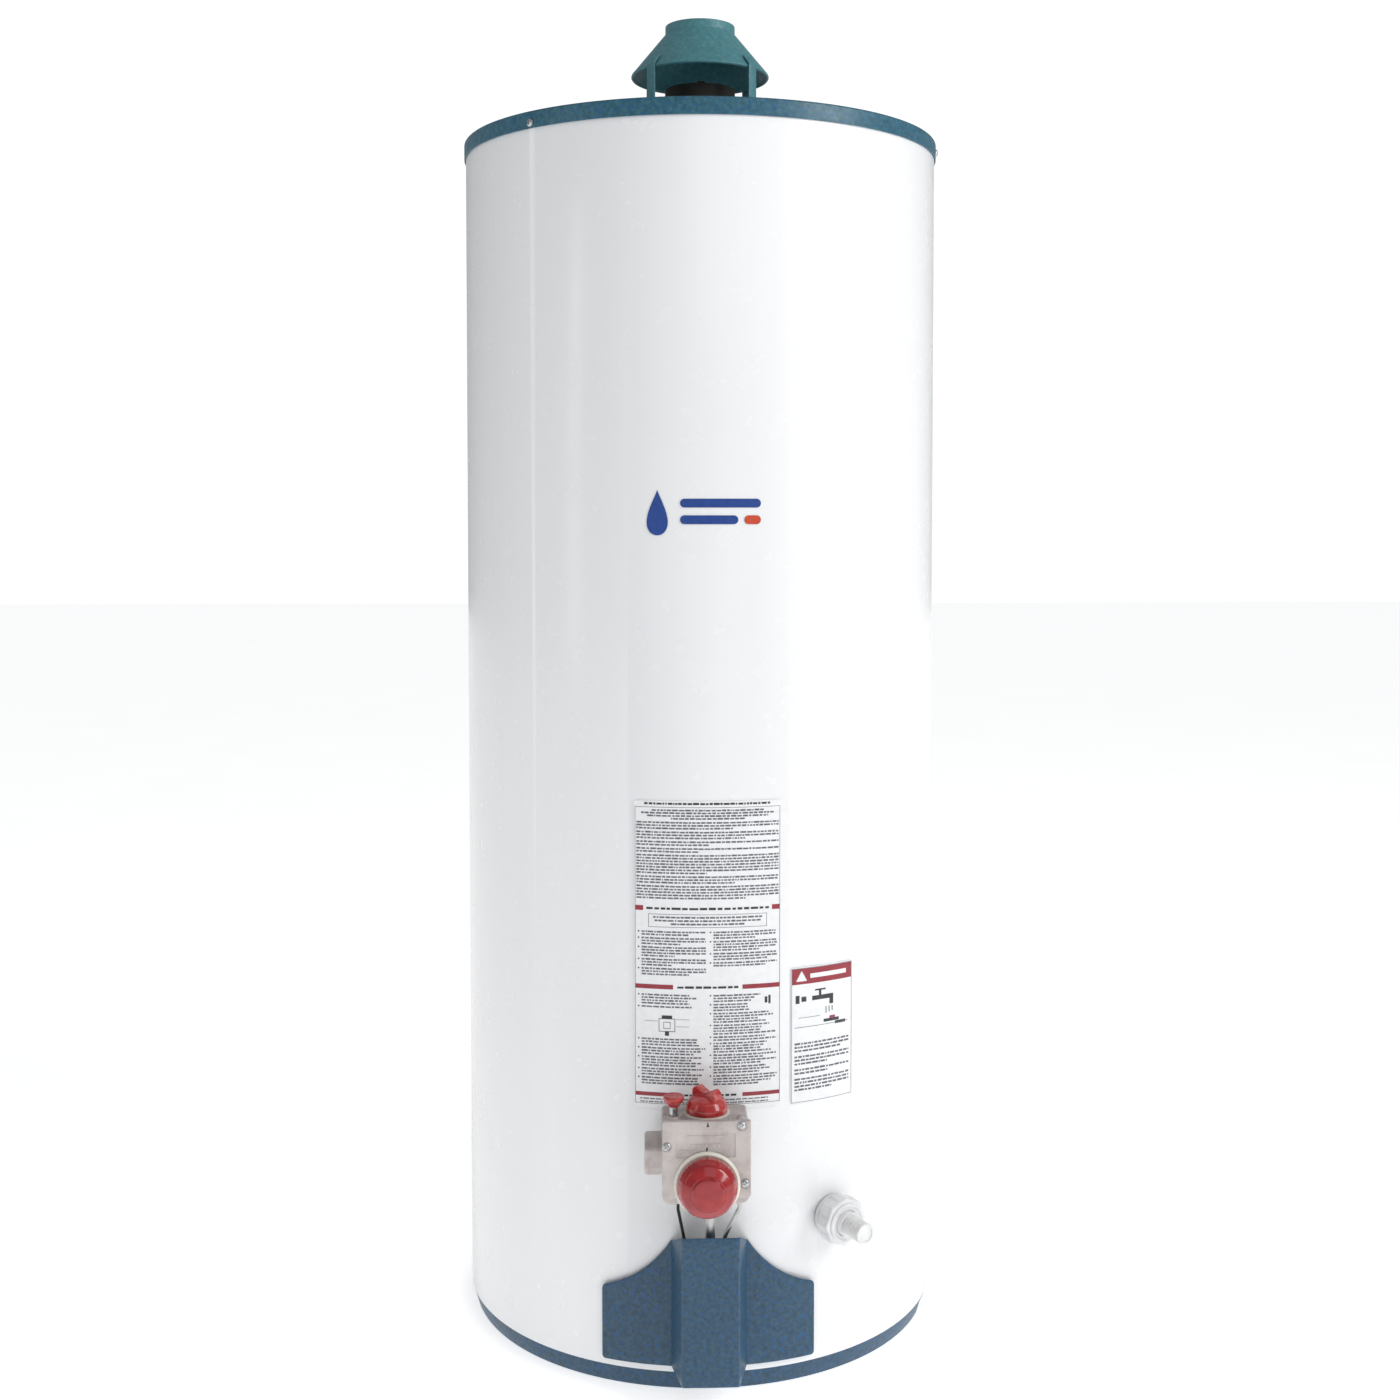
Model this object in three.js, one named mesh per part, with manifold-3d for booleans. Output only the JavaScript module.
// Gas tank water heater with a draft hood, as separate pieces.
// Millimetres, +Z up, front towards -Y. The origin is on the tank's axis, at the floor.
import * as THREE from "three";
import { mergeVertices } from "three/addons/utils/BufferGeometryUtils.js";
import Module from "manifold-3d";

const wasm = await Module();
wasm.setup();

// ---- Driving dimensions -------------------------------------------------

// Clearances
const gap = 0.3; // between pieces that touch
const slack = 0.5; // between a turning piece and what it turns in
const past = 2; // how far a cutting solid runs past a face

// Enclosure
const jacketRadius = 255;
const heaterHeight = 1258; // floor to the top cover's face
const jacketSheet = 0.8;
const insulation = 24; // between the tank and the jacket
const panHeight = 19;
const panTaper = 6; // how far the pan's wall draws in at the floor
const panStep = 0.5; // the pan's wall stops this far inside the jacket's face
const panSheet = 1.5;
const panLip = 15; // how far the pan reaches up inside the jacket
const airInlet = { azimuths: [82, 262], width: 130, height: 14, depth: 14 };
const airArch = { azimuths: [37, 127, 217, 307], half: 45, below: 8 };
const coverSheet = 1.2;
const coverRim = 17.4;
const coverFold = 2; // chamfer of the top cover's edge
const coverScrew = {
  azimuths: [-42.7, 77.3, 197.3], below: 12, shank: 12, radius: 1.7, head: 4, headHeight: 2.2,
};

// Tank
const shellSheet = 2;
const headSheet = 2.5;
const headRise = 36;
const headFlange = 18;
const bottomRimZ = 136; // where the bottom head meets the shell
const topRimBelow = 62; // the top head's rim, below the top cover's face
const flueRadius = 38.35;
const flueSheet = 2;
const flueAboveCover = 65.5;
const pipeRadius = 13.35; // 3/4 inch pipe
const pipeWall = 2.9;
const pipeCentres = 203.2; // hot to cold, 8 inches
const nippleAboveCover = 28;
const spudRadius = 19;
const spudLength = 16;
const dipTube = { radius: 9, wall: 1.5, aboveHead: 110 };
const anode = { y: 120, radius: 9, across: 27, head: 12, thread: 20, aboveHead: 160 };
const baffle = { width: 50, sheet: 1.5, swing: 11, pitch: 90 };

// Draft hood
const hood = {
  collarInset: 0.35, // the collar is this much smaller than the flue
  collarHeight: 9,
  flare: 37.5, // from the collar out to the rim
  rimAboveCover: 79,
  height: 134,
  sheet: 1.2,
  lip: 1.6,
};
const hoodLeg = { azimuths: [45, 135, 225, 315], width: 11.6, sheet: 1.2, foot: 11, tab: 9 };

// Burner compartment
const chamber = { floorZ: 31, window: 64, windowLow: 45, windowHigh: 100, insulationTop: 190 };
const door = { overlap: 10, sheet: 1.2, notchLeft: -22, notchRight: 27, notchTop: 80 };
const jacketWindow = 78; // half width of the jacket's opening
const runZ = 62; // height of the burner tube inside
const burner = {
  radius: 58, neck: 11, waist: 48, mouthZ: 77, topZ: 112, drop: 20, dish: 6, sheet: 1.2, ports: 10,
};
const pilot = { x: 20, y: -84, z: 88, height: 22 };

// Gas control, placed from the jacket's front face
const control = {
  x: -5.5,
  standoff: 7,
  width: 82,
  depth: 57,
  bottomZ: 213,
  topZ: 288,
  shankZ: 250,
  footCorner: 8,
  headCorner: 3,
};
const plate = {
  thick: 5.7, overLeft: 0.2, overRight: 1, fromFoot: 7.6, overTop: 6.1, corner: 4.3, headCorner: 1.5,
};
const namePanel = { fromLeft: 12.7, fromRight: 14.5, fromTop: 10.8, height: 23.7, depth: 0.8 };
const earScrew = { fromRight: 8.9, fromTop: 4.5, boss: 4.2, neck: 3.4, depth: 14 };
const leftScrew = { fromLeft: 4.3, fromTop: 23.8 };
const lowScrew = { fromRight: 5.6, fromBottom: 14.1 };
const dial = {
  right: 0.8, up: 21.6, radius: 28, height: 23, hub: 15.5,
  ring: 31.2, ringHeight: 4.5, shaft: 4, shaftDepth: 8,
};
const knob = {
  right: 1.6, inward: 33, radius: 20, height: 24, boss: 4.7, bossRadius: 22.5, shaft: 3.5, shaftDepth: 7,
};
const button = {
  fromLeft: 11.1, radius: 10, boss: 8.4, bossHeight: 2, stem: 4,
  above: 21, capFoot: 10.5, travel: 6, guide: 6,
};
const inlet = { across: 38, length: 17, up: 40, inward: 31, bore: 9.5, depth: 15 };
const probe = { radius: 5.5, length: 150 };

// Tubes below the gas control, all in one plane at first
const tubePlane = 23; // from the control's rear face
const mainTube = { x: 0, radius: 4.9, wall: 1, bend: 22, nutAcross: 19, nut: 9 };
const pilotTube = { x: 28, radius: 2, closeX: 14, closeBelow: 45, nutAcross: 11, nut: 8 };
const couple = {
  x: -31, radius: 1.5, closeX: -24, closeBelow: 53, lowX: -18, tip: 3, fromPilot: 16,
  nutAcross: 10, nut: 9,
};
const thinBend = 9;
const mainStep = 12; // facet lengths along the tubes
const thinStep = 6;

// The small pan head screws of the plate and the inner door
const screw = { radius: 1.7, hole: 2, head: 4, headHeight: 2.5 };

// Access cover
const access = {
  sheet: 1.2,
  standoff: 3,
  bottomZ: 27,
  halfWidth: 105,
  cornerZ: 101,
  joinHalf: 37,
  joinZ: 153,
  topZ: 172,
  sweep: 118,
  channelHalf: 27.5,
  channelDepth: 45,
};

// Drain valve and relief valve, on lines out from the axis
const drain = {
  azimuth: 28.8, z: 163, flange: 21, neck: 12.5, bore: 7, handle: 24.5, handleSides: 8,
  handleFrom: 9, handleTo: 30, outlet: 10.4, reach: 59,
};
const drainSeal = { radius: 21.5, hole: 14, thick: 2 };
const relief = {
  azimuth: 140, below: 150, standoff: 6, across: 32, hex: 12, barrel: 16, barrelEnd: 46,
  bonnet: 12, bonnetShort: 14, outlet: 15, outletIn: 28, drop: 34, stem: 3, pin: 1.6, reach: 84,
};

// Labels on the jacket
const labelSheet = 0.4;
const labelLift = 0.45;
const labels = {
  instruction_label: { left: -73, right: 70.5, bottom: 281, top: 583 },
  caution_label: { left: 80.5, right: 145, bottom: 280, top: 415.5 },
  front_badge: { left: -69, right: 55, bottom: 837, top: 888 },
};

// ---- Sizes that follow --------------------------------------------------

const jacketInner = jacketRadius - jacketSheet;
const panFloorRadius = jacketRadius - panTaper;
const tankRadius = jacketInner - insulation;
const shellInner = tankRadius - shellSheet;
const headRadius = shellInner - gap;
const topRimZ = heaterHeight - topRimBelow;
const panFloorTop = panSheet;
const jacketTopZ = heaterHeight - coverSheet - coverFold - gap;
const coverRadius = jacketRadius + slack + coverSheet;
const domeRadius = (headRadius ** 2 + headRise ** 2) / (2 * headRise);
const flueTopZ = heaterHeight + flueAboveCover;
const flueFootZ = bottomRimZ + headRise - 12;
const collarRadius = flueRadius - hood.collarInset;
const rimRadius = collarRadius + hood.flare;
const rimZ = heaterHeight + hood.rimAboveCover;
const hoodTopZ = heaterHeight + hood.height;
const controlBack = -(jacketRadius + control.standoff);
const controlFront = controlBack - control.depth;
const plateBack = controlFront - gap;
const plateFront = plateBack - plate.thick;
const controlLeft = control.x - control.width / 2;
const controlRight = control.x + control.width / 2;
const plateLeft = controlLeft - plate.overLeft;
const plateRight = controlRight + plate.overRight;
const plateBottom = control.bottomZ + plate.fromFoot;
const plateTop = control.topZ + plate.overTop;
const plateScrews = [
  [plateRight - earScrew.fromRight, plateTop - earScrew.fromTop],
  [plateLeft + leftScrew.fromLeft, plateTop - leftScrew.fromTop],
  [plateRight - lowScrew.fromRight, plateBottom + lowScrew.fromBottom],
];
const dialX = control.x + dial.right;
const dialZ = control.bottomZ + dial.up;
const knobX = control.x + knob.right;
const buttonX = controlLeft + button.fromLeft;
const inletZ = control.bottomZ + inlet.up;
const tubeY = controlBack - tubePlane;
const knobY = controlBack - knob.inward;
const reliefZ = heaterHeight - relief.below;
const nippleX = pipeCentres / 2;
const ringSides = 40;
const roundSides = 16;

// ---- Finishes -----------------------------------------------------------

const whiteEnamel = { color: 0xf1f2f4, roughness: 0.22, metalness: 0 };
const bluePaint = { color: 0x446a8a, roughness: 0.45, metalness: 0 };
const tealPaint = { color: 0x40717a, roughness: 0.5, metalness: 0 };
const darkSteel = { color: 0x2b2724, roughness: 0.7, metalness: 0.6 };
const bareSteel = { color: 0x8d8f92, roughness: 0.45, metalness: 0.9 };
const castMetal = { color: 0xb9b2ae, roughness: 0.5, metalness: 0.6 };
const brightMetal = { color: 0xd5d6d8, roughness: 0.3, metalness: 0.9 };
const brass = { color: 0xb08d4a, roughness: 0.4, metalness: 0.9 };
const copper = { color: 0xb06a45, roughness: 0.4, metalness: 0.9 };
const redPlastic = { color: 0xb02a2c, roughness: 0.3, metalness: 0 };
const whitePlastic = { color: 0xeceded, roughness: 0.4, metalness: 0 };
const blackRubber = { color: 0x222222, roughness: 0.8, metalness: 0 };
const foam = { color: 0xe3cf98, roughness: 0.9, metalness: 0 };
const glassWool = { color: 0xe6dc8d, roughness: 0.95, metalness: 0 };
const printedFilm = { color: 0xf4f4f2, roughness: 0.5, metalness: 0 };

// ---- Solids -------------------------------------------------------------

// A closed geometry as a solid with its faces pointing out.
function solid(geometry) {
  const bare = new THREE.BufferGeometry().setAttribute("position", geometry.getAttribute("position"));
  bare.setIndex(geometry.getIndex());
  const merged = mergeVertices(bare, 1e-4);
  const vertProperties = merged.attributes.position.array;
  const corner = (i) => new THREE.Vector3().fromArray(vertProperties, 3 * i);
  const triVerts = [];
  let volume = 0;
  for (let i = 0; i < merged.index.count; i += 3) {
    const [a, b, c] = merged.index.array.slice(i, i + 3);
    if (a === b || b === c || c === a) continue;
    triVerts.push(a, b, c);
    volume += corner(a).dot(corner(b).cross(corner(c)));
  }
  if (volume < 0) triVerts.reverse();
  const mesh = new wasm.Mesh({ numProp: 3, vertProperties, triVerts: new Uint32Array(triVerts) });
  return new wasm.Manifold(mesh);
}

const join = (first, ...others) => others.reduce((whole, piece) => whole.add(piece), first);
const cut = (first, ...tools) => tools.reduce((whole, tool) => whole.subtract(tool), first);

// A profile of [radius, height] turned about Z. It starts and ends on the axis, or closes on itself.
function turned(profile, sides = ringSides) {
  const points = profile.map(([r, z]) => new THREE.Vector2(r, z));
  if (profile[0][0] > 0) points.push(points[0].clone());
  return solid(new THREE.LatheGeometry(points, sides).rotateX(Math.PI / 2));
}

const ring = (inner, outer, low, high, sides) =>
  turned([[inner, low], [outer, low], [outer, high], [inner, high]], sides);

function block([x0, x1], [y0, y1], [z0, z1]) {
  const box = new THREE.BoxGeometry(x1 - x0, y1 - y0, z1 - z0);
  return solid(box.translate((x0 + x1) / 2, (y0 + y1) / 2, (z0 + z1) / 2));
}

// A round bar along one axis: at gives the other two coordinates, in X, Y, Z order.
function bar(axis, radius, from, to, at = [0, 0], sides = roundSides) {
  const shape = new THREE.CylinderGeometry(radius, radius, to - from, sides);
  const middle = (from + to) / 2;
  if (axis === "x") shape.rotateZ(-Math.PI / 2).translate(middle, at[0], at[1]);
  if (axis === "y") shape.translate(at[0], middle, at[1]);
  if (axis === "z") shape.rotateX(Math.PI / 2).translate(at[0], at[1], middle);
  return solid(shape);
}

// A hexagonal bar; across is the distance between flats.
const hexBar = (axis, across, from, to, at) => bar(axis, across / Math.sqrt(3), from, to, at, 6);

// An outline of [x, z] points, from y = front to y = back.
function slab(outline, front, back) {
  const isShape = outline instanceof THREE.Shape;
  const shape = isShape ? outline : new THREE.Shape(outline.map((p) => new THREE.Vector2(...p)));
  const thick = { depth: back - front, bevelEnabled: false, curveSegments: 6 };
  return solid(new THREE.ExtrudeGeometry(shape, thick).rotateX(Math.PI / 2).translate(0, back, 0));
}

// An outline of [x, y] points, from z = low to z = high.
function prism(outline, low, high) {
  const shape = new THREE.Shape(outline.map((p) => new THREE.Vector2(...p)));
  const thick = { depth: high - low, bevelEnabled: false };
  return solid(new THREE.ExtrudeGeometry(shape, thick).translate(0, 0, low));
}

function roundedOutline(left, right, bottom, top, lowerCorner, upperCorner) {
  const shape = new THREE.Shape();
  const quarter = Math.PI / 2;
  shape.absarc(left + lowerCorner, bottom + lowerCorner, lowerCorner, 2 * quarter, 3 * quarter);
  shape.absarc(right - lowerCorner, bottom + lowerCorner, lowerCorner, 3 * quarter, 4 * quarter);
  shape.absarc(right - upperCorner, top - upperCorner, upperCorner, 0, quarter);
  shape.absarc(left + upperCorner, top - upperCorner, upperCorner, quarter, 2 * quarter);
  shape.closePath();
  return shape;
}

// A round section along straight runs joined by bends. A bore makes it a tube with open ends.
function bent(points, bend, radius, bore, sides, stepLength) {
  const path = new THREE.CurvePath();
  let start = new THREE.Vector3(...points[0]);
  for (let i = 1; i < points.length - 1; i += 1) {
    const corner = new THREE.Vector3(...points[i]);
    const next = new THREE.Vector3(...points[i + 1]);
    const before = corner.clone().add(start.clone().sub(corner).setLength(bend));
    const after = corner.clone().add(next.clone().sub(corner).setLength(bend));
    path.add(new THREE.LineCurve3(start, before));
    path.add(new THREE.QuadraticBezierCurve3(before, corner, after));
    start = after;
  }
  path.add(new THREE.LineCurve3(start, new THREE.Vector3(...points[points.length - 1])));
  const circle = (r) => {
    const turn = (i) => (2 * Math.PI * i) / sides;
    const corner = (_, i) => new THREE.Vector2(r * Math.cos(turn(i)), r * Math.sin(turn(i)));
    return Array.from({ length: sides }, corner);
  };
  const section = new THREE.Shape(circle(radius));
  if (bore > 0) section.holes.push(new THREE.Path(circle(bore)));
  const steps = Math.round(path.getLength() / stepLength);
  return solid(new THREE.ExtrudeGeometry(section, { steps, extrudePath: path }));
}

const radians = (degrees) => THREE.MathUtils.degToRad(degrees);

// A solid made at the front, turned about the heater's axis to an azimuth.
const swung = (piece, azimuth) => piece.rotate([0, 0, azimuth]);

// Height of a dished head's upper face at a distance from the axis.
const domeZ = (rim, radius) => rim + Math.sqrt(domeRadius ** 2 - radius ** 2) - (domeRadius - headRise);

// ---- Parts --------------------------------------------------------------

const heater = new THREE.Group();

function add(name, piece, finish, group = heater) {
  const mesh = piece.getMesh();
  const geometry = new THREE.BufferGeometry();
  geometry.setAttribute("position", new THREE.BufferAttribute(mesh.vertProperties, mesh.numProp));
  geometry.setIndex(new THREE.BufferAttribute(mesh.triVerts, 1));
  geometry.computeVertexNormals();
  const part = new THREE.Mesh(geometry, new THREE.MeshStandardMaterial(finish));
  part.name = name;
  group.add(part);
}

// Pieces made at the front, then turned to an azimuth together.
function turnedGroup(azimuth) {
  const group = new THREE.Group();
  group.rotation.z = radians(azimuth);
  heater.add(group);
  return group;
}

// Air ways through the foot of the skirt and the heat shield.
const airArches = () =>
  airArch.azimuths.map((azimuth) => {
    const { half, below } = airArch;
    const depth = [-(tankRadius + past), -tankRadius * 0.8];
    const arch = block([-half, half], depth, [-past, chamber.floorZ - below]);
    return swung(arch, azimuth);
  });

function basePan() {
  const wallTop = jacketRadius - panStep;
  const lip = jacketInner - gap;
  const shape = turned([
    [0, 0],
    [panFloorRadius, 0],
    [wallTop, panHeight],
    [lip, panHeight],
    [lip, panHeight + panLip],
    [lip - panSheet, panHeight + panLip],
    [lip - panSheet, panHeight - panSheet],
    [panFloorRadius - panSheet, panFloorTop],
    [0, panFloorTop],
  ]);
  const { azimuths, width, height, depth } = airInlet;
  const reach = [-(jacketRadius + past), -(panFloorRadius - depth)];
  const opening = block([-width / 2, width / 2], reach, [-past, height]);
  return cut(shape, ...azimuths.map((azimuth) => swung(opening, azimuth)));
}

function outerJacket() {
  const shape = ring(jacketInner, jacketRadius, panHeight + gap, jacketTopZ);
  const wall = [-(jacketRadius + past), -(jacketInner - past - 4)];
  // The wall curves back at the sides, so the window's block is deeper than the round holes need.
  const deep = [-(jacketRadius + past), -jacketRadius * 0.9];
  const window = block([-jacketWindow, jacketWindow], deep, [chamber.windowLow, chamber.windowHigh]);
  const shank = bar("y", spudRadius + past, ...wall, [control.x, control.shankZ]);
  const outlet = (z) => bar("y", pipeRadius + past, ...wall, [0, z]);
  return cut(
    shape,
    window,
    shank,
    swung(outlet(drain.z), drain.azimuth),
    swung(outlet(reliefZ), relief.azimuth),
    ...screwHoles(),
  );
}

const screwHoles = () =>
  coverScrew.azimuths.map((azimuth) => {
    const from = -(coverRadius + past);
    const to = -(coverRadius - coverScrew.shank - past);
    const hole = bar("y", coverScrew.radius + gap, from, to, [0, heaterHeight - coverScrew.below], 10);
    return swung(hole, azimuth);
  });

function topCover() {
  const inner = coverRadius - coverSheet;
  const hole = flueRadius + past;
  const under = heaterHeight - coverSheet;
  const shape = turned([
    [hole, under],
    [inner - coverFold, under],
    [inner, under - coverFold],
    [inner, heaterHeight - coverRim],
    [coverRadius, heaterHeight - coverRim],
    [coverRadius, heaterHeight - coverFold],
    [coverRadius - coverFold, heaterHeight],
    [hole, heaterHeight],
  ]);
  return cut(shape, ...pipeHoles(pipeRadius + past, under - past, heaterHeight + past), ...screwHoles());
}

// Holes for the hot pipe, the cold pipe and the anode's head.
const pipeHoles = (radius, low, high) => [
  bar("z", radius, low, high, [-nippleX, 0]),
  bar("z", radius, low, high, [nippleX, 0]),
  bar("z", anode.across / Math.sqrt(3) + past, low, high, [0, anode.y]),
];

function coverScrewPiece() {
  const { radius, head, headHeight, shank } = coverScrew;
  const z = heaterHeight - coverScrew.below;
  const seat = -(coverRadius + gap);
  const thread = bar("y", radius, seat, seat + shank, [0, z], 10);
  return join(thread, bar("y", head, seat - headHeight, seat, [0, z], 14));
}

function tankShell() {
  const shape = ring(shellInner, tankRadius, panFloorTop + gap, topRimZ + headSheet);
  const wall = [-(tankRadius + past), -(shellInner - past * 3)];
  const { window, windowLow, windowHigh } = chamber;
  const outlet = (z, x = 0) => bar("y", spudRadius + gap, ...wall, [x, z]);
  const skin = [-(tankRadius + past), -(shellInner - 12)];
  const doorHoles = doorScrewX().map((x) => bar("y", screw.hole, ...skin, [x, doorMiddle()], 10));
  return cut(
    shape,
    block([-window, window], [-(tankRadius + past), -tankRadius * 0.9], [windowLow, windowHigh]),
    outlet(control.shankZ, control.x),
    swung(outlet(drain.z), drain.azimuth),
    swung(outlet(reliefZ), relief.azimuth),
    ...doorHoles,
    ...airArches(),
  );
}

// A dished head with its flange turned down.
function dishedHead(rim) {
  const steps = 4;
  const hole = flueRadius + gap;
  const radiusAt = (i) => headRadius + (i / steps) * (hole - headRadius);
  const over = Array.from({ length: steps + 1 }, (_, i) => [radiusAt(i), domeZ(rim, radiusAt(i))]);
  const under = over.map(([r, z], i) => [i ? r : r - headSheet, z - headSheet]).reverse();
  const flange = [[headRadius - headSheet, rim - headFlange], [headRadius, rim - headFlange]];
  return turned([...over, ...under, ...flange]);
}

function topHead() {
  const low = topRimZ;
  const high = heaterHeight;
  return cut(
    dishedHead(topRimZ),
    bar("z", spudRadius + gap, low, high, [-nippleX, 0]),
    bar("z", spudRadius + gap, low, high, [nippleX, 0]),
    bar("z", pipeRadius + gap, low, high, [0, anode.y]),
  );
}

// Sheet steel fins folded to and fro, hung from a bar across the flue's mouth.
function flueBaffle() {
  const { width, sheet, swing, pitch } = baffle;
  const hangZ = flueTopZ + gap;
  const folds = Math.floor((hangZ - flueFootZ - 20) / (pitch / 2));
  const side = (shift) =>
    Array.from({ length: folds + 1 }, (_, i) => [(i % 2 ? swing : 0) + shift, hangZ - (i * pitch) / 2]);
  const strip = slab([...side(-sheet / 2), ...side(sheet / 2).reverse()], -width / 2, width / 2);
  const hanger = block([-4, 4], [-(flueRadius - 1), flueRadius - 1], [hangZ, hangZ + sheet]);
  return join(strip, hanger);
}

// Foam round the tank and over its top head.
function foamInsulation() {
  const steps = 4;
  const hole = flueRadius + past;
  const over = Array.from({ length: steps + 1 }, (_, i) => {
    const radius = headRadius + (i / steps) * (hole - headRadius);
    return [radius, domeZ(topRimZ, radius) + 1 + headSheet * (i ? 0 : 1)];
  });
  const outer = jacketInner - gap;
  const inner = tankRadius + gap;
  const top = jacketTopZ - gap;
  const shape = turned([
    [outer, chamber.insulationTop + gap],
    [outer, top],
    [hole, top],
    ...over.reverse(),
    [inner, topRimZ + headSheet + 1],
    [inner, chamber.insulationTop + gap],
  ]);
  const wall = [-(jacketRadius + past), -(tankRadius - past * 3)];
  return cut(
    shape,
    bar("y", spudRadius + gap, ...wall, [control.x, control.shankZ]),
    swung(bar("y", spudRadius + gap, ...wall, [0, reliefZ]), relief.azimuth),
    ...pipeHoles(spudRadius + gap, topRimZ, heaterHeight),
    ...screwHoles(),
  );
}

function chamberInsulation() {
  const shape = ring(tankRadius + gap, jacketInner - gap, panHeight + panLip + past, chamber.insulationTop);
  const wall = [-(jacketRadius + past), -(tankRadius * 0.9)];
  const half = jacketWindow + past;
  const doorTop = chamber.windowHigh + door.overlap + past;
  return cut(
    shape,
    block([-half, half], wall, [0, doorTop]),
    swung(bar("y", spudRadius + gap, ...wall, [0, drain.z]), drain.azimuth),
  );
}

function heatShield() {
  const radius = shellInner - past;
  const { floorZ } = chamber;
  const shape = turned([
    [30, floorZ - coverSheet],
    [radius - coverSheet, floorZ - coverSheet],
    [radius - coverSheet, panFloorTop + gap],
    [radius, panFloorTop + gap],
    [radius, floorZ],
    [30, floorZ],
  ]);
  return cut(shape, ...airArches());
}

// A welded coupling in the tank's side, on a line along Y.
function sideSpud(x, z) {
  const from = -(tankRadius + spudLength - 6);
  const to = -(shellInner - 6);
  const bore = bar("y", pipeRadius + gap, from - past, to + past, [x, z]);
  return cut(bar("y", spudRadius, from, to, [x, z]), bore);
}

function topSpud(x) {
  const low = domeZ(topRimZ, nippleX) - 6;
  const high = low + spudLength;
  const bore = bar("z", pipeRadius + gap, low - past, high + past, [x, 0]);
  return cut(bar("z", spudRadius, low, high, [x, 0]), bore);
}

const nippleFoot = () => domeZ(topRimZ, nippleX) - 4;

function nipple(x) {
  const high = heaterHeight + nippleAboveCover;
  const low = nippleFoot();
  return cut(
    bar("z", pipeRadius, low, high, [x, 0]),
    bar("z", pipeRadius - pipeWall, low - past, high + past, [x, 0]),
  );
}

function dipTubePiece() {
  const { radius, wall, aboveHead } = dipTube;
  const high = nippleFoot() + 40;
  const low = bottomRimZ + headRise + aboveHead;
  return cut(
    bar("z", radius, low, high, [nippleX, 0]),
    bar("z", radius - wall, low - past, high + past, [nippleX, 0]),
  );
}

function anodeRod() {
  const { y, radius, across, head, thread, aboveHead } = anode;
  const seat = domeZ(topRimZ, y - across / 2) + 1;
  return join(
    bar("z", radius, bottomRimZ + headRise + aboveHead, seat, [0, y]),
    bar("z", pipeRadius, seat - thread, seat, [0, y]),
    hexBar("z", across, seat, seat + head, [0, y]),
  );
}

function draftHood() {
  const { sheet, lip, collarHeight } = hood;
  const collarZ = hoodTopZ - collarHeight;
  return turned(
    [
      [collarRadius, hoodTopZ],
      [collarRadius - sheet, hoodTopZ],
      [collarRadius - sheet, collarZ - sheet / 2],
      [rimRadius - 3 * sheet, rimZ + sheet],
      [rimRadius - 3 * sheet, rimZ - lip],
      [rimRadius - sheet, rimZ - lip],
      [rimRadius, rimZ],
      [rimRadius - sheet / 2, rimZ + lip],
      [collarRadius, collarZ],
    ],
    40,
  );
}

// A strip that stands on the cover and is bent in over the hood's rim.
function hoodLegPiece() {
  const { width, sheet, foot, tab } = hoodLeg;
  const slope = (hoodTopZ - hood.collarHeight - rimZ) / (rimRadius - collarRadius);
  const inner = rimRadius + gap;
  const outer = inner + sheet;
  const low = heaterHeight + gap;
  const bendZ = rimZ + hood.lip + 2 * gap;
  const outline = [
    [outer, low],
    [outer, bendZ + gap],
    [outer - tab, bendZ + gap + slope * tab],
    [outer - tab, bendZ + gap + slope * tab - 1.5 * sheet],
    [inner, bendZ],
    [inner, low + sheet],
    [outer - foot, low + sheet],
    [outer - foot, low],
  ];
  // Drawn at +X, then turned to the front.
  return slab(outline, -width / 2, width / 2).rotate([0, 0, -90]);
}

function valveBody() {
  const { bottomZ, topZ, shankZ, footCorner, headCorner } = control;
  const knobTop = topZ + knob.boss;
  const inletY = controlBack - inlet.inward;
  const inletEnd = controlLeft - inlet.length;
  const outline = roundedOutline(controlLeft, controlRight, bottomZ, topZ, footCorner, headCorner);
  const [[earX, earZ]] = plateScrews;
  const earDepth = [controlFront, controlFront + earScrew.depth];
  const body = join(
    slab(outline, controlFront, controlBack),
    bar("z", knob.bossRadius, topZ - past, knobTop, [knobX, knobY], 24),
    bar("z", button.boss, topZ - past, topZ + button.bossHeight, [buttonX, knobY]),
    hexBar("x", inlet.across, inletEnd, controlLeft + past, [inletY, inletZ]),
    bar("y", earScrew.boss, ...earDepth, [earX, earZ]),
    block([earX - earScrew.neck, earX + earScrew.neck], earDepth, [topZ - past, earZ + 1]),
    bar("y", pipeRadius, controlBack - past, -(shellInner - 4), [control.x, shankZ]),
  );
  const screws = plateScrews.map((at) => {
    return bar("y", screw.hole, controlFront - past, controlFront + 10, at, 10);
  });
  const buttonWell = topZ - button.guide - button.travel - 1;
  return cut(
    body,
    bar("x", inlet.bore, inletEnd - past, inletEnd + inlet.depth, [inletY, inletZ]),
    bar("z", knob.shaft + gap, topZ - knob.shaftDepth - 1, knobTop + past, [knobX, knobY], 16),
    bar("z", button.stem + gap, buttonWell, topZ + 2 * past, [buttonX, knobY], 16),
    ...screws,
  );
}

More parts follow.
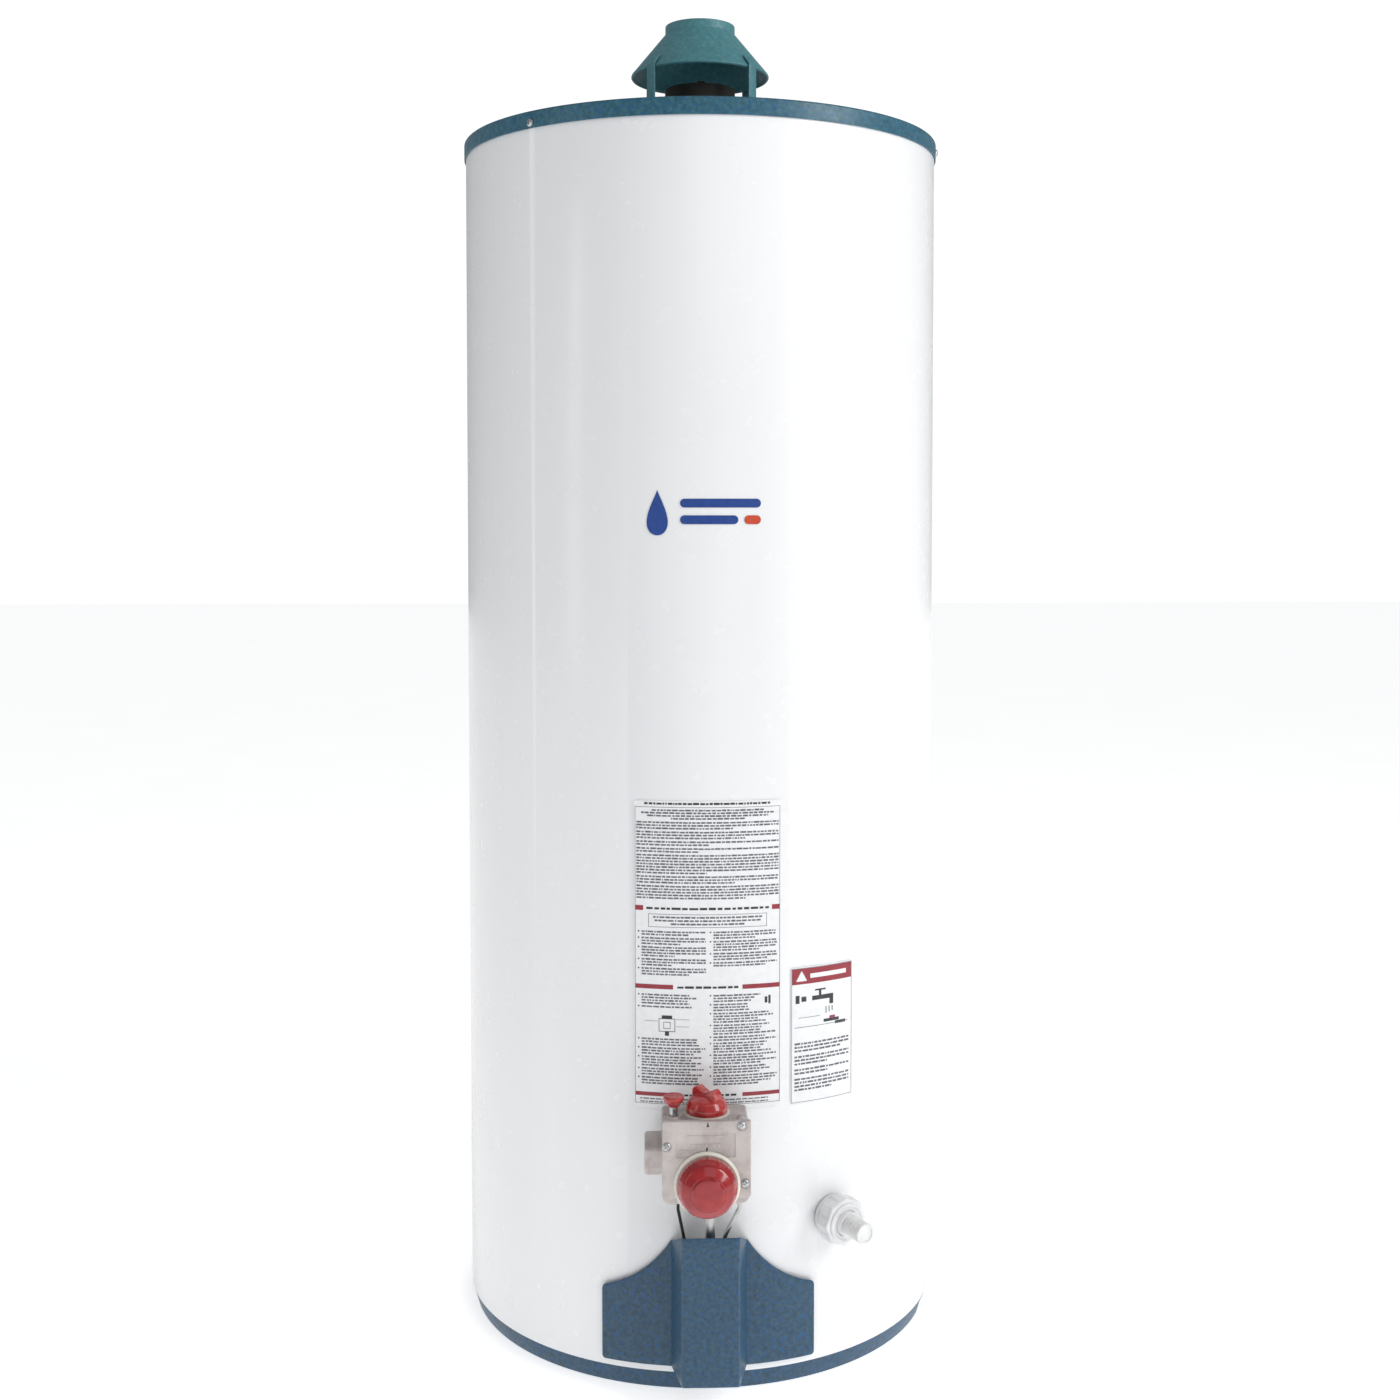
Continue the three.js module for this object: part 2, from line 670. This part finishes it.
function valvePlate() {
  const corners = [plate.corner, plate.headCorner];
  const outline = roundedOutline(plateLeft, plateRight, plateBottom, plateTop, ...corners);
  const face = slab(outline, plateFront, plateBack);
  const dialRing = bar("y", dial.ring, plateFront - dial.ringHeight, plateBack, [dialX, dialZ], 32);
  const panelTop = plateTop - namePanel.fromTop;
  const panel = block(
    [plateLeft + namePanel.fromLeft, plateRight - namePanel.fromRight],
    [plateFront - past, plateFront + namePanel.depth],
    [panelTop - namePanel.height, panelTop],
  );
  const through = [plateFront - dial.ringHeight - past, plateBack + past];
  return cut(
    join(cut(face, panel), dialRing),
    bar("y", dial.shaft + gap, ...through, [dialX, dialZ], 16),
    ...plateScrews.map((at) => bar("y", screw.hole, ...through, at, 10)),
  );
}

function panHeadScrew(seat, length, at) {
  const { radius, head, headHeight } = screw;
  return join(bar("y", radius, seat, seat + length, at, 10), bar("y", head, seat - headHeight, seat, at, 14));
}

// Turned about Y: height runs out from the plate.
function temperatureDial() {
  const { radius, height, hub, shaft, shaftDepth } = dial;
  const back = plateFront - dial.ringHeight - slack;
  const knobShape = turned(
    [
      [0, -shaftDepth],
      [shaft, -shaftDepth],
      [shaft, 0],
      [radius - 1, 0],
      [radius, 2],
      [radius, 8],
      [radius - 3, 15],
      [hub + 1.5, height - 3],
      [hub, height - 1],
      [hub - 2, height],
      [0, height],
    ],
    28,
  );
  const pointer = block([-1.2, 1.2], [radius - 3, radius + 1.4], [0.4, 8]);
  return join(knobShape, pointer).rotate([90, 0, 0]).translate([dialX, back, dialZ]);
}

function gasCockKnob() {
  const { radius, height, shaft, shaftDepth } = knob;
  const low = control.topZ + knob.boss + slack;
  const skirt = turned(
    [
      [0, -shaftDepth],
      [shaft, -shaftDepth],
      [shaft, 0],
      [radius - 1, 0],
      [radius, 1],
      [radius, 6],
      [radius - 4.5, 14],
      [0, 15.5],
    ],
    24,
  );
  const grip = block([-5, 5], [-15, 15], [8, height]);
  return join(skirt, grip).translate([knobX, knobY, low]);
}

function pilotButton() {
  const { radius, stem, above, guide } = button;
  const low = control.topZ - guide;
  const capFoot = control.topZ + button.capFoot;
  const top = control.topZ + above;
  return turned(
    [
      [0, low],
      [stem, low],
      [stem, capFoot],
      [6, capFoot],
      [radius, capFoot + 5],
      [radius, top - 1],
      [radius - 1, top],
      [0, top],
    ],
    16,
  ).translate([buttonX, knobY, 0]);
}

const thermostatProbe = () => {
  const start = -(shellInner - 4 - gap);
  return bar("y", probe.radius, start, start + probe.length, [control.x, control.shankZ], 16);
};

// A hexagonal nut under the gas control, with its tube through it.
function tubeNut({ x, radius, nutAcross, nut }) {
  const high = control.bottomZ - gap;
  return cut(
    hexBar("z", nutAcross, high - nut, high, [x, tubeY]),
    bar("z", radius + gap, high - nut - past, high + past, [x, tubeY], 12),
  );
}

function burnerTube() {
  const { x, radius, wall, bend } = mainTube;
  const points = [[x, tubeY, control.bottomZ - gap], [x, tubeY, runZ], [x, -orificeHalf - gap, runZ]];
  return bent(points, bend, radius, radius - wall, 8, mainStep);
}

const orificeHalf = 9;

// A thin tube is straight through its nut, and turns in below it.
const turnZ = ({ nut }) => control.bottomZ - gap - nut - thinBend;

// The tubes leave the control's nuts, close up in the cover's channel and run in to the pilot.
function pilotTubePiece() {
  const { x, radius, closeX, closeBelow } = pilotTube;
  const run = runZ + 10;
  const points = [
    [x, tubeY, control.bottomZ - gap],
    [x, tubeY, turnZ(pilotTube)],
    [closeX, tubeY, control.bottomZ - closeBelow],
    [closeX, tubeY, run],
    [pilot.x, pilot.y, run],
    [pilot.x, pilot.y, pilot.z - gap],
  ];
  return bent(points, thinBend, radius, 0, 6, thinStep);
}

function thermocouple() {
  const { x, radius, closeX, closeBelow, lowX, tip, fromPilot } = couple;
  const run = runZ + 8;
  const tipX = pilot.x - fromPilot;
  const points = [
    [x, tubeY, control.bottomZ - gap],
    [x, tubeY, turnZ(couple)],
    [closeX, tubeY, control.bottomZ - closeBelow],
    [lowX, tubeY, run],
    [tipX, pilot.y, run],
    [tipX, pilot.y, pilot.z],
  ];
  return join(
    bent(points, thinBend, radius, 0, 6, thinStep),
    bar("z", tip, pilot.z - 2, pilot.z + pilot.height, [tipX, pilot.y], 12),
  );
}

function mainBurner() {
  const { radius, neck, waist, mouthZ, topZ, drop, dish, sheet, ports } = burner;
  const shape = turned(
    [
      [0, topZ],
      [radius - 2, topZ - 2],
      [radius, topZ - 8],
      [waist, topZ - drop + dish],
      [neck, topZ - drop],
      [neck, mouthZ + 8],
      [neck + 5, mouthZ],
      [neck + 5 - sheet, mouthZ],
      [neck - sheet, mouthZ + 8],
      [neck - sheet, topZ - drop + sheet],
      [waist - sheet / 2, topZ - drop + dish + sheet],
      [radius - sheet, topZ - 8],
      [radius - 2 - sheet, topZ - 2 - sheet],
      [0, topZ - sheet],
    ],
    20,
  );
  const port = block([-2, 2], [-(radius + past), -(radius - 6)], [topZ - 7, topZ - 4]);
  return cut(shape, ...Array.from({ length: ports }, (_, i) => swung(port, ((i + 0.5) * 360) / ports)));
}

function burnerOrifice() {
  const half = orificeHalf;
  const top = burner.mouthZ - 3;
  const holder = join(
    block([-half, half], [-half, half], [runZ - 7, runZ + 7]),
    hexBar("z", 12, runZ + 5, top, [0, 0]),
  );
  return cut(holder, bar("z", 1, runZ, top + past, [0, 0], 8));
}

const bracketSheet = 1.5;
const bracketReach = 30; // from the burner's axis to the outside of each post

// A strap under the orifice holder that carries the burner's head on two posts.
function burnerBracket() {
  const sheet = bracketSheet;
  const low = runZ - 7 - gap - sheet;
  const reach = bracketReach;
  const { topZ, drop, dish, neck, waist } = burner;
  const under = topZ - drop + (dish * (reach - sheet - neck)) / (waist - neck) - gap;
  const outline = [
    [-reach, low],
    [reach, low],
    [reach, under],
    [reach - sheet, under],
    [reach - sheet, low + sheet],
    [-reach + sheet, low + sheet],
    [-reach + sheet, under],
    [-reach, under],
  ];
  return slab(outline, -8, 8);
}

function pilotBurner() {
  const { x, y, z, height } = pilot;
  const hoodShape = cut(
    bar("z", 6, z, z + height - 4, [x, y], 16),
    block([x - 3, x + 3], [y, y + 8], [z + 8, z + height]),
    bar("z", 3.5, z + 8, z + height, [x, y], 12),
  );
  const foot = block([x - 22, x + 8], [y - 6, y + 6], [z + 1, z + 2.5]);
  const arm = block([x - 8, bracketReach - bracketSheet - gap], [y - 6, 8], [z + 1, z + 2.5]);
  const holder = join(hoodShape, foot, arm);
  return cut(holder, bar("z", couple.tip + gap, z - past, z + height, [x - couple.fromPilot, y], 12));
}

const doorMiddle = () => (chamber.windowLow + chamber.windowHigh) / 2;
const doorScrewX = () => [-1, 1].map((side) => side * (chamber.window + door.overlap / 2));

// The plate that closes the burner chamber, with a notch that slips over the tubes.
function innerDoor() {
  const { overlap, sheet, notchLeft, notchRight, notchTop } = door;
  const half = chamber.window + overlap;
  const { windowLow, windowHigh } = chamber;
  const inner = tankRadius + gap;
  const skin = ring(inner, inner + sheet, windowLow - 8, windowHigh + overlap);
  const front = [-(jacketRadius + past), -tankRadius * 0.5];
  const holes = doorScrewX().map((x) => bar("y", screw.hole, ...front, [x, doorMiddle()], 10));
  return cut(
    skin.intersect(block([-half, half], front, [0, heaterHeight])),
    block([notchLeft, notchRight], front, [0, notchTop]),
    ...holes,
  );
}

function doorScrew(x) {
  const nearEdge = Math.abs(x) - screw.head;
  const seat = -(Math.sqrt((tankRadius + gap + door.sheet) ** 2 - nearEdge ** 2) + gap);
  return panHeadScrew(seat, 12, [x, doorMiddle()]);
}

// Right half of the access cover's front view: up the side, along the swept curve and the channel.
function coverOutline() {
  const { halfWidth, cornerZ, joinHalf, joinZ, bottomZ, sweep } = access;
  const chord = new THREE.Vector2(joinHalf - halfWidth, joinZ - cornerZ);
  const rise = Math.sqrt(sweep ** 2 - (chord.length() / 2) ** 2);
  const centre = new THREE.Vector2(
    (joinHalf + halfWidth) / 2 + (rise * chord.y) / chord.length(),
    (joinZ + cornerZ) / 2 - (rise * chord.x) / chord.length(),
  );
  const from = Math.atan2(cornerZ - centre.y, halfWidth - centre.x);
  const to = Math.atan2(joinZ - centre.y, joinHalf - centre.x);
  const turn = to - from > 0 ? to - from - 2 * Math.PI : to - from;
  const steps = 8;
  const sweepAt = (i) => {
    const angle = from + (turn * i) / steps;
    return [centre.x + sweep * Math.cos(angle), centre.y + sweep * Math.sin(angle)];
  };
  const curve = Array.from({ length: steps + 1 }, (_, i) => sweepAt(i));
  return [[halfWidth, bottomZ], ...curve, [joinHalf, joinZ + past]];
}

function accessCover() {
  const { sheet, standoff, bottomZ, joinHalf, joinZ, topZ, channelHalf, channelDepth } = access;
  const inner = jacketRadius + standoff;
  const right = coverOutline();
  const left = right.map(([x, z]) => [-x, z]).reverse();
  const wings = cut(
    ring(inner, inner + sheet, bottomZ, joinZ + past, 2 * ringSides).intersect(
      slab([...left, ...right], -(inner + 20), -inner * 0.7),
    ),
    block([-joinHalf + sheet, joinHalf - sheet], [-(inner + 20), 0], [bottomZ - past, topZ]),
  );
  const rootY = -Math.sqrt(inner ** 2 - joinHalf ** 2) - sheet / 2;
  const faceY = -(jacketRadius + channelDepth);
  const channel = prism(
    [
      [joinHalf, rootY],
      [joinHalf - sheet, rootY],
      [channelHalf - sheet, faceY + sheet],
      [-channelHalf + sheet, faceY + sheet],
      [-joinHalf + sheet, rootY],
      [-joinHalf, rootY],
      [-channelHalf, faceY],
      [channelHalf, faceY],
    ],
    bottomZ,
    topZ,
  );
  // The side walls fall back from the front's top edge to the wings.
  const slant = prism(
    [[faceY + 3, topZ], [rootY + past, joinZ - past], [rootY + past, topZ + 10], [faceY + 3, topZ + 10]],
    -60,
    60,
  ).rotate([90, 0, 90]);
  return cut(join(wings, channel), slant);
}

function drainBody() {
  const face = -(jacketRadius + drainSeal.thick + gap * 2);
  const end = -(jacketRadius + drain.reach);
  const { z, outlet, neck, bore, handleFrom, handleTo } = drain;
  const seat = -(jacketRadius + handleFrom - slack);
  const body = join(
    bar("y", pipeRadius, face - 1, -(shellInner - 4), [0, z]),
    bar("y", drain.flange, seat, face, [0, z], 24),
    bar("y", neck, -(jacketRadius + handleTo + 3), seat + 1, [0, z]),
    bar("y", outlet, end, seat, [0, z]),
  );
  return cut(body, bar("y", bore, end - past, -(jacketRadius + 12), [0, z]));
}

// An eight-sided grip that turns on the drain valve's neck.
function drainHandle() {
  const { handle, handleSides, handleFrom, handleTo, neck, z } = drain;
  const [front, back] = [-(jacketRadius + handleTo), -(jacketRadius + handleFrom)];
  return cut(
    bar("y", handle, front, back, [0, z], handleSides),
    bar("y", neck + slack, front - past, back + past, [0, z]),
  );
}

function drainGasket() {
  const face = -(jacketRadius + gap);
  const front = face - drainSeal.thick;
  return cut(
    bar("y", drainSeal.radius, front, face, [0, drain.z], 24),
    bar("y", drainSeal.hole, front - past, face + past, [0, drain.z]),
  );
}

const bonnetEnd = -(jacketRadius + relief.reach - relief.bonnetShort);
const stemEnd = -(jacketRadius + relief.reach);
const pivotY = stemEnd + 5;

function reliefBody() {
  const { standoff, across, hex, barrel, barrelEnd, bonnet, outlet, outletIn, drop, stem } = relief;
  const z = reliefZ;
  const back = -(jacketRadius + standoff);
  const outletY = back - outletIn;
  const body = join(
    bar("y", pipeRadius, back - 1, -(shellInner - 4), [0, z]),
    hexBar("y", across, back - hex, back, [0, z]),
    bar("y", barrel, back - barrelEnd, back - hex + 1, [0, z]),
    bar("y", bonnet, bonnetEnd, back - barrelEnd + 1, [0, z]),
    bar("z", outlet, z - drop, z, [0, outletY]),
  );
  return cut(
    body,
    bar("z", pipeRadius - pipeWall, z - drop - past, z - barrel, [0, outletY]),
    bar("y", stem + gap, bonnetEnd - past, bonnetEnd + 12, [0, z], 12),
  );
}

// The stem's end carries the pin that the lever turns on.
function reliefStem() {
  return join(
    bar("y", relief.stem, stemEnd, bonnetEnd + 10, [0, reliefZ], 12),
    bar("x", relief.pin, -9, 9, [pivotY, reliefZ], 10),
  );
}

// Two ears on the pin and a thumb plate that stands up from them.
function reliefLever() {
  const z = reliefZ;
  const ears = join(
    block([4, 5.5], [pivotY - 5, pivotY + 4], [z - 4, z + 16]),
    block([-5.5, -4], [pivotY - 5, pivotY + 4], [z - 4, z + 16]),
    block([-5.5, 5.5], [pivotY - 5, pivotY - 3.5], [z + 5, z + 16]),
    block([-7, 7], [pivotY - 5, pivotY - 3.5], [z + 15, z + 52]),
    block([-7, 7], [pivotY - 9, pivotY - 3.5], [z + 51, z + 52.5]),
  );
  return cut(ears, bar("x", 2, -12, 12, [pivotY, z], 12));
}

function labelPiece({ left, right, bottom, top }) {
  const inner = jacketRadius + labelLift;
  const skin = ring(inner, inner + labelSheet, bottom, top, 2 * ringSides);
  return skin.intersect(block([left, right], [-(inner + past), -inner * 0.5], [bottom - past, top + past]));
}

// ---- Assembly -----------------------------------------------------------

add("base_pan", basePan(), bluePaint);
add("heat_shield", heatShield(), bareSteel);
add("outer_jacket", outerJacket(), whiteEnamel);
add("top_cover", topCover(), bluePaint);
coverScrew.azimuths.forEach((azimuth, i) => {
  add(`cover_screw_${i + 1}`, coverScrewPiece(), brightMetal, turnedGroup(azimuth));
});

add("tank_shell", tankShell(), bareSteel);
add("tank_top_head", topHead(), bareSteel);
add("tank_bottom_head", dishedHead(bottomRimZ), bareSteel);
add("flue_tube", ring(flueRadius - flueSheet, flueRadius, flueFootZ, flueTopZ, 32), darkSteel);
add("flue_baffle", flueBaffle(), darkSteel);
add("foam_insulation", foamInsulation(), foam);
add("chamber_insulation", chamberInsulation(), glassWool);
add("hot_spud", topSpud(-nippleX), bareSteel);
add("cold_spud", topSpud(nippleX), bareSteel);
add("hot_nipple", nipple(-nippleX), brightMetal);
add("cold_nipple", nipple(nippleX), brightMetal);
add("dip_tube", dipTubePiece(), whitePlastic);
add("anode_rod", anodeRod(), brightMetal);

add("draft_hood", draftHood(), tealPaint);
hoodLeg.azimuths.forEach((azimuth, i) => {
  add(`hood_leg_${i + 1}`, hoodLegPiece(), tealPaint, turnedGroup(azimuth));
});

add("valve_spud", sideSpud(control.x, control.shankZ), bareSteel);
add("valve_body", valveBody(), castMetal);
add("valve_cover_plate", valvePlate(), castMetal);
plateScrews.forEach((at, i) => {
  add(`valve_screw_${i + 1}`, panHeadScrew(plateFront - gap, 13, at), brightMetal);
});
add("temperature_dial", temperatureDial(), redPlastic);
add("gas_cock_knob", gasCockKnob(), redPlastic);
add("pilot_button", pilotButton(), redPlastic);
add("thermostat_probe", thermostatProbe(), copper);

add("burner_tube", burnerTube(), brightMetal);
add("pilot_tube", pilotTubePiece(), brightMetal);
add("thermocouple", thermocouple(), copper);
add("burner_tube_nut", tubeNut(mainTube), brass);
add("pilot_tube_nut", tubeNut(pilotTube), brass);
add("thermocouple_nut", tubeNut(couple), darkSteel);
add("main_burner", mainBurner(), bareSteel);
add("burner_orifice", burnerOrifice(), brass);
add("burner_bracket", burnerBracket(), bareSteel);
add("pilot_burner", pilotBurner(), bareSteel);
add("inner_door", innerDoor(), darkSteel);
doorScrewX().forEach((x, i) => add(`door_screw_${i + 1}`, doorScrew(x), brightMetal));
add("access_cover", accessCover(), bluePaint);

const drainGroup = turnedGroup(drain.azimuth);
add("drain_spud", sideSpud(0, drain.z), bareSteel, drainGroup);
add("drain_valve_body", drainBody(), whitePlastic, drainGroup);
add("drain_handle", drainHandle(), whitePlastic, drainGroup);
add("drain_gasket", drainGasket(), blackRubber, drainGroup);

const reliefGroup = turnedGroup(relief.azimuth);
add("relief_spud", sideSpud(0, reliefZ), bareSteel, reliefGroup);
add("relief_valve_body", reliefBody(), brass, reliefGroup);
add("relief_stem", reliefStem(), brightMetal, reliefGroup);
add("relief_lever", reliefLever(), brightMetal, reliefGroup);

Object.entries(labels).forEach(([name, size]) => add(name, labelPiece(size), printedFilm));

export default heater;
